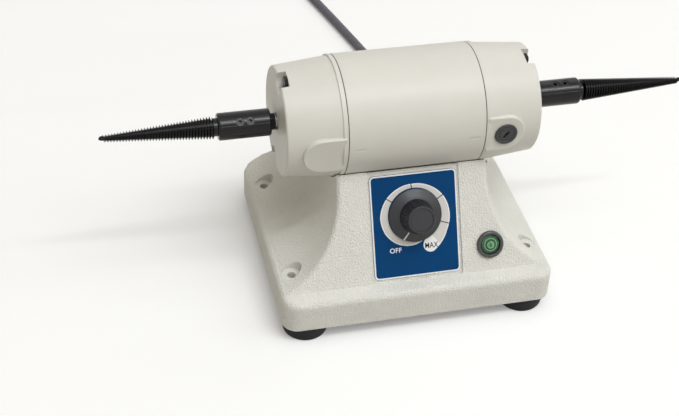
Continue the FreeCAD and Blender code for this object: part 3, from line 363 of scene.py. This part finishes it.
def prism_faces(count):
    """Faces of a prism, whose vertices are one end's loop and then the other end's."""
    faces = [tuple(range(count)), tuple(range(count, 2 * count))]
    for i in range(count):
        j = (i + 1) % count
        faces.append((i, j, count + j, count + i))
    return faces


def fan(vertices, loop, centre):
    """Triangles from a loop of vertices to a new one at its centre."""
    vertices.append(centre)
    hub = len(vertices) - 1
    return [(loop[k], loop[(k + 1) % len(loop)], hub) for k in range(len(loop))]


# Camera

def look_camera():
    data = bpy.data.cameras.new("photo_camera")
    data.sensor_width = SENSOR_WIDTH
    data.lens = FOCAL_PIXELS / PHOTO_WIDTH * SENSOR_WIDTH
    back = Vector((math.sin(VIEW_AZIMUTH) * math.cos(VIEW_ELEVATION),
                   -math.cos(VIEW_AZIMUTH) * math.cos(VIEW_ELEVATION), math.sin(VIEW_ELEVATION)))
    right = Vector((math.cos(VIEW_AZIMUTH), math.sin(VIEW_AZIMUTH), 0))
    up = back.cross(right)
    turn_right = right * math.cos(VIEW_ROLL) + up * math.sin(VIEW_ROLL)
    turn_up = up * math.cos(VIEW_ROLL) - right * math.sin(VIEW_ROLL)
    place = Matrix((turn_right, turn_up, back)).transposed().to_4x4()
    place.translation = to_metres(VIEW_TARGET + back * VIEW_DISTANCE)
    bpy.context.scene.camera = add_object("photo_camera", data, place)


# Cord

def coil_frame():
    """Coil's centre, and the directions outward at the cord's entry and onward along it."""
    onward = CORD_ROUTE[-1] - CORD_ROUTE[-2]
    onward.z = 0
    onward.normalize()
    outward = onward.cross(Vector((0, 0, 1)))
    entry = CORD_ROUTE[-1] + onward * CORD_DIAMETER
    return entry - outward * COIL_RADIUS, outward, onward


def coil_stops():
    """Ends of the coil's half turns: in along the lower layer, then out along the upper."""
    centre, outward, _ = coil_frame()
    step = COIL_PITCH / 2
    stops = []
    for i in range(COIL_HALF_TURNS + 1):
        reach = COIL_RADIUS - step * i
        if i > COIL_REVERSAL + 1:
            reach = COIL_RADIUS - step * (2 * COIL_REVERSAL + 1 - i)
        rise = COIL_LAYER if i > COIL_REVERSAL else 0
        stops.append(centre + outward * (reach * (-1) ** i) + Vector((0, 0, rise)))
    return stops


def cord_points():
    """The route, then the coil's turns and the straight tail to the plug."""
    onward = coil_frame()[2]
    stops = coil_stops()
    step = math.pi / POINTS_PER_HALF_TURN
    # The spline passes inside a turn's points, so they stand this much further out
    spread = 1 / (0.75 + 0.25 * math.cos(step))
    points = list(CORD_ROUTE)
    for i, (a, b) in enumerate(zip(stops, stops[1:])):
        middle = (a + b) / 2
        reach = (a - b) / 2
        side = onward * reach.length * (-1) ** i
        for k in range(POINTS_PER_HALF_TURN):
            turn = (k + 0.5) * step
            points.append(middle + (reach * math.cos(turn) + side * math.sin(turn)) * spread)
    points.append(stops[-1] + onward * COIL_TAIL_START)
    points.append(stops[-1] + onward * COIL_TAIL)
    return points


def add_cord():
    curve = bpy.data.curves.new("supply_cord", "CURVE")
    curve.dimensions = "3D"
    curve.bevel_depth = CORD_DIAMETER / 2000
    curve.bevel_resolution = 5
    curve.resolution_u = 8
    curve.use_fill_caps = True
    spline = curve.splines.new("NURBS")
    points = cord_points()
    spline.points.add(len(points) - 1)
    for target, p in zip(spline.points, points):
        target.co = (*to_metres(p), 1)
    spline.order_u = 3
    spline.use_endpoint_u = True
    curve.materials.append(MATERIALS["cord_grey"])
    obj = add_piece("supply_cord", curve, "stand")
    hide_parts("power_cord", "cord_coil")
    tuple(to_metres(CORD_ROUTE[0]))


# Threaded tapers

def add_collar(name):
    """The spindle up to the end of its neck, without its smooth taper."""
    mesh = nodes[name + "_spindle"].data.copy()
    b = bmesh.new()
    b.from_mesh(mesh)
    limit = (THREAD_START + NECK_MARGIN) / 1000
    smooth_taper = [f for f in b.faces if abs(f.calc_center_median().x) > limit]
    bmesh.ops.delete(b, geom=smooth_taper, context="FACES")
    b.to_mesh(mesh)
    b.free()
    collar = add_piece(name + "_collar", mesh, "rotor")
    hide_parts(name + "_spindle")


def along_taper(x, first, last):
    """Size at x that changes evenly over the thread's length."""
    return first + (last - first) * (x - THREAD_START) / (THREAD_TURNS * THREAD_PITCH)


def crest(x):
    return along_taper(x, THREAD_CREST, THREAD_CREST_END)


def add_taper(name, side):
    """Sharp screw thread cut in a slender cone, one hand on each side, with a blunt tip."""
    steps = THREAD_TURNS * THREAD_STEPS
    last = THREAD_COLUMNS - 1
    vertices = []
    faces = []

    def add_point(x, radius, i):
        turn = side * 2 * math.pi * i / THREAD_STEPS
        vertices.append(to_metres((side * x, radius * math.sin(turn),
                                   AXIS_HEIGHT + radius * math.cos(turn))))

    for i in range(steps + 1):
        x = THREAD_START + THREAD_PITCH * i / THREAD_STEPS
        for flat in (x - THREAD_FLAT, x + THREAD_FLAT):
            add_point(flat, crest(x), i)
        for root in (x + THREAD_FLANK, x + THREAD_PITCH - THREAD_FLANK):
            add_point(root, crest(root) - along_taper(root, THREAD_DEPTH, THREAD_DEPTH_END), i)
    for i in range(steps):
        this, after = THREAD_COLUMNS * i, THREAD_COLUMNS * (i + 1)
        for k in range(last):
            faces.append((this + k, this + k + 1, after + k + 1, after + k))
        if i + THREAD_STEPS < steps:
            turn_on = THREAD_COLUMNS * (i + THREAD_STEPS)
            faces.append((this + last, turn_on, turn_on + THREAD_COLUMNS, after + last))

    loop = [THREAD_COLUMNS * i for i in range(THREAD_STEPS + 1)]
    loop += range(last, 0, -1)
    faces += fan(vertices, loop, to_metres((side * THREAD_START, 0, AXIS_HEIGHT)))
    loop = [THREAD_COLUMNS * steps + k for k in range(last)]
    loop += [THREAD_COLUMNS * i + last for i in range(steps, steps - THREAD_STEPS - 1, -1)]
    count = len(loop)
    for x, share in TIP_RINGS:
        ring = range(len(vertices), len(vertices) + count)
        for index in loop:
            radial = vertices[index] - to_metres((vertices[index].x * 1000, 0, AXIS_HEIGHT))
            vertices.append(to_metres((side * x, 0, AXIS_HEIGHT)) + radial * share)
        for k in range(count):
            n = (k + 1) % count
            faces.append((loop[k], loop[n], ring[n], ring[k]))
        loop = ring
    faces += fan(vertices, loop, to_metres((side * TIP_END, 0, AXIS_HEIGHT)))

    taper = mesh_piece(name + "_taper", vertices, faces, "rotor", "black_steel")
    for edge in taper.data.edges:
        a, b = edge.vertices
        if abs(a - b) == THREAD_COLUMNS:
            edge.use_edge_sharp = True
    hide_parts(name + "_spindle")


# Printing on the dial plate

def strip(name, inner, outer, out, thickness, look, closed=False):
    """Thin printed band between two rows of (x, up) points on the panel."""
    count = len(inner)
    vertices = []
    for level in (out, out + thickness):
        vertices += [panel(x, up, level) for x, up in inner]
        vertices += [panel(x, up, level) for x, up in outer]
    faces = []
    for i in range(count if closed else count - 1):
        j = (i + 1) % count
        low = (i, j, count + j, count + i)
        faces.append(low)
        faces.append(tuple(2 * count + v for v in low))
        faces.append((i, j, 2 * count + j, 2 * count + i))
        faces.append((count + i, count + j, 3 * count + j, 3 * count + i))
    if not closed:
        for i in (0, count - 1):
            faces.append((i, count + i, 3 * count + i, 2 * count + i))
    mesh_piece(name, vertices, faces, "stand", look, smooth=False)


def rounded_rectangle(half_width, low, high, corner):
    points = []
    for quarter, (cx, cy) in enumerate((
            (half_width - corner, high - corner), (-half_width + corner, high - corner),
            (-half_width + corner, low + corner), (half_width - corner, low + corner))):
        for i in range(CORNER_STEPS + 1):
            turn = math.radians(90 * quarter + 90 * i / CORNER_STEPS)
            points.append((cx + corner * math.cos(turn), cy + corner * math.sin(turn)))
    return points


def ring_edge(angle):
    """Outer radius of the dial's ring, which widens clockwise."""
    for (a, ra), (b, rb) in zip(RING_EDGE, RING_EDGE[1:]):
        if angle <= b:
            return ra + (rb - ra) * (angle - a) / (b - a)


def ring_points(radius_of, start, end):
    points = []
    for i in range(RING_STEPS + 1):
        angle = start + (end - start) * i / RING_STEPS
        turn = math.radians(angle)
        r = radius_of(angle)
        points.append((r * math.sin(turn), KNOB_PLACE + r * math.cos(turn)))
    return points


def ring_end(inner_radius, outer_radius, angle):
    """Half circle that rounds off the ring beyond an angle, as (inner, outer) rows of points."""
    middle = (inner_radius + outer_radius) / 2
    half = (outer_radius - inner_radius) / 2
    a = math.radians(angle)
    rows = []
    for sign in (-1, 1):
        row = []
        for i in range(1, RING_END_STEPS + 1):
            turn = math.pi / 2 * i / RING_END_STEPS
            forward = half * math.sin(turn)
            r = middle + sign * half * math.cos(turn)
            row.append((r * math.sin(a) + forward * math.cos(a),
                        KNOB_PLACE + r * math.cos(a) - forward * math.sin(a)))
        rows.append(row)
    return rows


def add_dial_print():
    """White border and ring, the ring's grey middle, and four black ticks."""
    strip("dial_border", rounded_rectangle(*BORDER_INSIDE), rounded_rectangle(*BORDER_OUTSIDE),
          PLATE_FACE, INK, "print_white", closed=True)
    start, end = RING_EDGE[0][0], RING_EDGE[-1][0]
    end_inner, end_outer = ring_end(RING_INSIDE, ring_edge(end), end)
    strip("dial_ring", ring_points(lambda a: RING_INSIDE, start, end) + end_inner,
          ring_points(ring_edge, start, end) + end_outer, PLATE_FACE, INK, "print_white")
    strip("dial_ring_fill", ring_points(lambda a: RING_INSIDE, RING_FILL_START, RING_FILL_END),
          ring_points(lambda a: ring_edge(a) - RING_LINE, RING_FILL_START, RING_FILL_END),
          PLATE_FACE + INK, THIN_INK, "print_grey")
    for i, angle in enumerate(TICK_ANGLES):
        turn = math.radians(angle)
        along = Vector((math.sin(turn), math.cos(turn)))
        across = Vector((along.y, -along.x)) * TICK_HALF_WIDTH
        centre = Vector((0, KNOB_PLACE))
        near = centre + along * RING_INSIDE
        far = centre + along * (ring_edge(angle) + TICK_OVERHANG)
        strip("dial_tick_%d" % (i + 1), [tuple(near - across), tuple(far - across)],
              [tuple(near + across), tuple(far + across)], PLATE_FACE + INK + THIN_INK,
              THIN_INK, "print_black")


def add_word(name, word, x, up, out, height, weight, narrow, look):
    """Printed word, flat on the panel and centred on a point of it."""
    data = bpy.data.curves.new(name, "FONT")
    data.body = word
    data.size = height / 1000 / CAPITAL_SHARE
    data.align_x = "CENTER"
    data.align_y = "CENTER"
    data.offset = weight / 1000
    data.extrude = LETTER_DEPTH / 1000
    data.space_character = LETTER_SPACING
    data.materials.append(MATERIALS[look])
    place = Matrix((Vector((1, 0, 0)), PANEL_UP, PANEL_OUT)).transposed().to_4x4()
    place.translation = panel(x, up, out)
    add_piece(name, data, "stand", place @ Matrix.Diagonal((narrow, 1, 1, 1)))


def add_pointer():
    """White line down the knob's skirt, at the OFF mark when the knob is at rest."""
    turn = math.radians(POINTER_ANGLE)
    away = Vector((math.sin(turn), 0, 0)) + PANEL_UP * math.cos(turn)
    side = PANEL_OUT.cross(away)
    centre = PANEL_FOOT + PANEL_UP * KNOB_PLACE
    vertices = [to_metres(centre + away * r + PANEL_OUT * (out + POINTER_LIFT) + side * shift)
                for shift in (-POINTER_HALF_WIDTH, POINTER_HALF_WIDTH)
                for r, out in POINTER_PROFILE]
    mesh_piece("knob_pointer", vertices, prism_faces(len(POINTER_PROFILE)), "knob",
               "print_white", smooth=False)


# Motor details

def add_joint_lines_and_painted_shade():
    """Dark joint lines from tube to end bells, and painted shade lines along the saddle's front
    and rear edges.
    """
    for name, side in (("left", -1), ("right", 1)):
        def place(turn, r, h):
            return side * TUBE_END + h, r * math.sin(turn), AXIS_HEIGHT + r * math.cos(turn)

        turned_piece("seam_" + name, TUBE_SEAM, place, "joint_dark_and_painted_shade",
                     TUBE_SEAM_STEPS)
    # Thin dark strips painted as the shade where the tube meets the saddle's edges
    for name, side in (("front", -1), ("rear", 1)):
        vertices = [to_metres((x, side * SADDLE_Y + y, SADDLE_Z + z))
                    for x in (-SADDLE_HALF_LENGTH, SADDLE_HALF_LENGTH) for y, z in SADDLE_SHADE_PROFILE]
        mesh_piece("saddle_painted_shade_" + name, vertices, prism_faces(len(SADDLE_SHADE_PROFILE)), "stand",
                   "joint_dark_and_painted_shade", smooth=False)


def add_brush_cap(name, facing):
    """Screw-in brush cap: a raised rim, a sunk face, and a near-black bar painted as the shade in
    a short screwdriver slot.
    """
    centre = Vector((CAP_X, facing * CAP_SEAT, AXIS_HEIGHT))

    def place(turn, r, h):
        return centre + Vector((r * math.cos(turn), facing * h, r * math.sin(turn)))

    cap = turned_piece("cap_" + name, CAP_PROFILE, place, "cap_black",
                       CAP_STEPS)
    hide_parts("brush_cap_" + name)
    # The slot is not cut: a near-black bar over the sunk face is painted as its shade
    turn = math.radians(CAP_SLOT_TURN)
    along = Vector((math.cos(turn), 0, math.sin(turn)))
    across = Vector((-along.z, 0, along.x))
    vertices = [to_metres(centre + along * a + across * c + Vector((0, facing * h, 0)))
                for h in CAP_SLOT_HEIGHTS for a, c in CAP_SLOT]
    slot = mesh_piece("cap_slot_painted_shade_" + name, vertices, prism_faces(len(CAP_SLOT)), "stand",
                      "slot_painted_shade", smooth=False)
    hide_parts("brush_cap_" + name)


# Floor, world and lamps

def direct_rays(tree):
    """Camera, glossy and transmission rays together, which all see the pale background."""
    rays = add_node(tree, "ShaderNodeLightPath")
    total = rays.outputs["Is Camera Ray"]
    for kind in ("Is Glossy Ray", "Is Transmission Ray"):
        total = add_node(tree, "ShaderNodeMath", {0: total, 1: rays.outputs[kind]},
                         operation="ADD", use_clamp=True).outputs[0]
    return total


def add_stage():
    """Pale floor that looks lighter than what it bounces back to the lathe."""
    look = bpy.data.materials.new("floor")
    look.use_nodes = True
    tree = look.node_tree
    tree.nodes.clear()
    direct = direct_rays(tree)
    tint = add_node(tree, "ShaderNodeMixRGB", {0: direct, 1: FLOOR_BOUNCE, 2: FLOOR_SEEN})
    matte = add_node(tree, "ShaderNodeBsdfDiffuse", {"Color": tint.outputs[0]})
    seen = add_node(tree, "ShaderNodeMath", {0: direct, 1: FLOOR_GLOW}, operation="MULTIPLY")
    glow = add_node(tree, "ShaderNodeEmission", {"Strength": seen.outputs[0]})
    both = add_node(tree, "ShaderNodeAddShader", {0: matte.outputs[0], 1: glow.outputs[0]})
    add_node(tree, "ShaderNodeOutputMaterial", {"Surface": both.outputs[0]})
    mesh = bpy.data.meshes.new("floor")
    corners = ((-1, -1), (1, -1), (1, 1), (-1, 1))
    mesh.from_pydata([(x * FLOOR_REACH, y * FLOOR_REACH, 0) for x, y in corners], [],
                     [(0, 1, 2, 3)])
    mesh.materials.append(look)
    add_object("floor", mesh)


def add_world():
    """White behind the object, and a dim warm room that lights it."""
    world = bpy.data.worlds.new("studio")
    world.use_nodes = True
    tree = world.node_tree
    tree.nodes.clear()
    place = add_node(tree, "ShaderNodeTexCoord").outputs["Generated"]
    height = add_node(tree, "ShaderNodeSeparateXYZ", {0: place}).outputs["Z"]
    strength = add_node(tree, "ShaderNodeMapRange", {
        "Value": height, "To Min": HORIZON_STRENGTH, "To Max": ZENITH_STRENGTH})
    room = add_node(tree, "ShaderNodeBackground", {
        "Color": add_ramp(tree, height, (0, HORIZON_TINT), (1, ZENITH_TINT)),
        "Strength": strength.outputs["Result"]})
    white = add_node(tree, "ShaderNodeBackground", {"Color": (1, 1, 1, 1)})
    mix = add_node(tree, "ShaderNodeMixShader", {
        0: direct_rays(tree), 1: room.outputs[0], 2: white.outputs[0]})
    add_node(tree, "ShaderNodeOutputWorld", {"Surface": mix.outputs[0]})
    bpy.context.scene.world = world


def add_lamp(name, place, size, power):
    """Area lamp turned to the motor, its first side level and along X where it can be."""
    data = bpy.data.lights.new(name, "AREA")
    data.shape = "RECTANGLE"
    data.size, data.size_y = size
    data.energy = power
    data.color = LAMP_TINT
    back = (Vector(place) - LAMP_TARGET).normalized()
    across = (Vector((1, 0, 0)) - back * back.x).normalized()
    stand = Matrix((across, back.cross(across), back)).transposed().to_4x4()
    stand.translation = place
    add_object(name, data, stand)


def far_place(azimuth, elevation):
    """Place of a lamp that stands off from the motor, its azimuth from the front in degrees."""
    a, e = math.radians(azimuth), math.radians(elevation)
    away = Vector((math.sin(a) * math.cos(e), -math.cos(a) * math.cos(e), math.sin(e)))
    return LAMP_TARGET + away * LAMP_DISTANCE


look_camera()
add_cord()
for name, side in (("left", -1), ("right", 1)):
    add_collar(name)
    add_taper(name, side)
add_dial_print()
add_word("word_off", "OFF", x=-13.6, up=KNOB_PLACE - 21.7, out=PLATE_FACE + INK / 2,
         height=3.0, weight=0.07, narrow=1.0, look="print_white")
add_word("word_max", "MAX", x=9.7, up=KNOB_PLACE - 20.8, out=PLATE_FACE + 2 * INK,
         height=3.4, weight=0.05, narrow=0.8, look="print_black")
add_joint_lines_and_painted_shade()
add_brush_cap("front", -1)
add_brush_cap("rear", 1)
add_pointer()
add_stage()
add_world()
add_lamp("key", far_place(25, 64), (3.4, 3.4), 126)
add_lamp("side", far_place(70, 38), (3.4, 3.4), 60)
add_lamp("top", far_place(-15, 80), (5.0, 5.0), 54)
add_lamp("back", far_place(140, 45), (3.4, 3.4), 22)
add_lamp("high_strip", (0.5, -0.78, 1.91), (1.05, 0.1), 6.5)
add_lamp("low_strip", (0.5, -1.69, 1.08), (1.05, 0.04), 1.6)
bpy.context.scene.view_settings.view_transform = "Standard"
